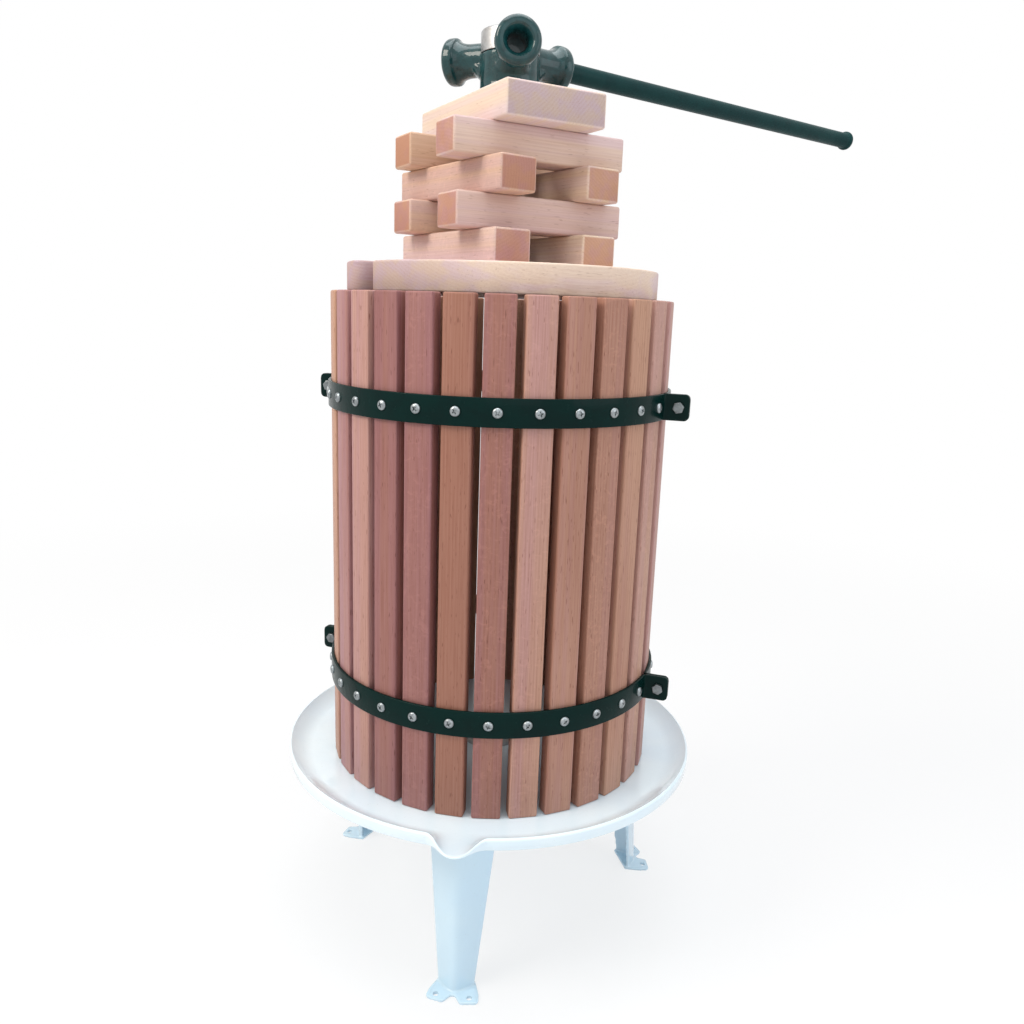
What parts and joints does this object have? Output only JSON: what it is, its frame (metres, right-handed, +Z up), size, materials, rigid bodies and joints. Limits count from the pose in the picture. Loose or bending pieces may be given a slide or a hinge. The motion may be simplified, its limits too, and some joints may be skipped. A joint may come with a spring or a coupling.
{
  "type": "fruit and grape press",
  "caption": "Slatted wooden basket press with a spouted drip pan on three sheet legs, a central screw, a block crib, a socketed cast head and a lever bar.",
  "frame": {"origin": "on the floor, under the axis of the press screw, at the centre of the circle through the foot holes", "axes": "+Z up along the press screw, -Y towards the front leg and the spout, +X to the right seen from the spout"},
  "size_m": [0.6394, 0.6578, 0.9345],
  "materials": {
    "slat_beech": "steamed beech, planed, satin",
    "block_beech": "beech, planed, satin",
    "green_paint": "dark green gloss paint on flat steel",
    "green_bar": "dark green paint on a steel bar",
    "green_casting": "dark green gloss paint on cast iron",
    "white_enamel": "white gloss enamel on sheet steel",
    "zinc": "bright zinc plate",
    "screw_steel": "turned steel",
    "nut_steel": "turned steel"
  },
  "bodies": {
    "stand": {"drip_pan": "white_enamel", "leg_front": "white_enamel", "leg_right": "white_enamel", "leg_left": "white_enamel", "leg_bolts": "zinc", "leg_nuts": "zinc", "press_screw": "screw_steel", "screw_nut": "screw_steel", "slat_15": "slat_beech", "slat_16": "slat_beech", "slat_17": "slat_beech", "slat_18": "slat_beech", "slat_19": "slat_beech", "slat_20": "slat_beech", "slat_21": "slat_beech", "slat_22": "slat_beech", "slat_23": "slat_beech", "slat_24": "slat_beech", "slat_25": "slat_beech", "slat_26": "slat_beech", "slat_27": "slat_beech", "slat_28": "slat_beech", "slat_29": "slat_beech", "slat_30": "slat_beech", "hoop_upper_rear": "green_paint", "hoop_lower_rear": "green_paint", "slat_screws_rear": "zinc", "lug_nuts": "zinc"},
    "basket_front": {"slat_01": "slat_beech", "slat_02": "slat_beech", "slat_03": "slat_beech", "slat_04": "slat_beech", "slat_05": "slat_beech", "slat_06": "slat_beech", "slat_07": "slat_beech", "slat_08": "slat_beech", "slat_09": "slat_beech", "slat_10": "slat_beech", "slat_11": "slat_beech", "slat_12": "slat_beech", "slat_13": "slat_beech", "slat_14": "slat_beech", "hoop_upper_front": "green_paint", "hoop_lower_front": "green_paint", "slat_screws_front": "zinc", "lug_bolts": "zinc"},
    "press_stack": {"press_plate_front": "block_beech", "press_plate_rear": "block_beech", "block_1_left": "block_beech", "block_1_right": "block_beech", "block_2_front": "block_beech", "block_2_rear": "block_beech", "block_3_left": "block_beech", "block_3_right": "block_beech", "block_4_front": "block_beech", "block_4_rear": "block_beech", "top_block": "block_beech"},
    "head": {"press_head": "green_casting", "head_nut": "nut_steel"},
    "bar": {"lever_bar": "green_bar"}
  },
  "joints": [
    {"name": "basket_front_pull", "type": "slide", "parent": "stand", "child": "basket_front", "axis": [-0.1736, -0.9848, 0], "range_m": [0, 0.02]},
    {"name": "press_travel", "type": "slide", "parent": "stand", "child": "press_stack", "axis": [0, 0, -1], "range_m": [0, 0.2]},
    {"name": "head_spin", "type": "hinge", "parent": "press_stack", "child": "head", "pos_m": [0, 0, 0.86752], "axis": [0, 0, -1], "range_deg": [0, 12000]},
    {"name": "bar_pull", "type": "slide", "parent": "head", "child": "bar", "axis": [0.7071, 0.7071, 0], "range_m": [0, 0.045]}
  ],
  "couplings": [
    {"joint": "press_travel", "follows": "head_spin", "m_per_rad": 0.00095493}
  ]
}
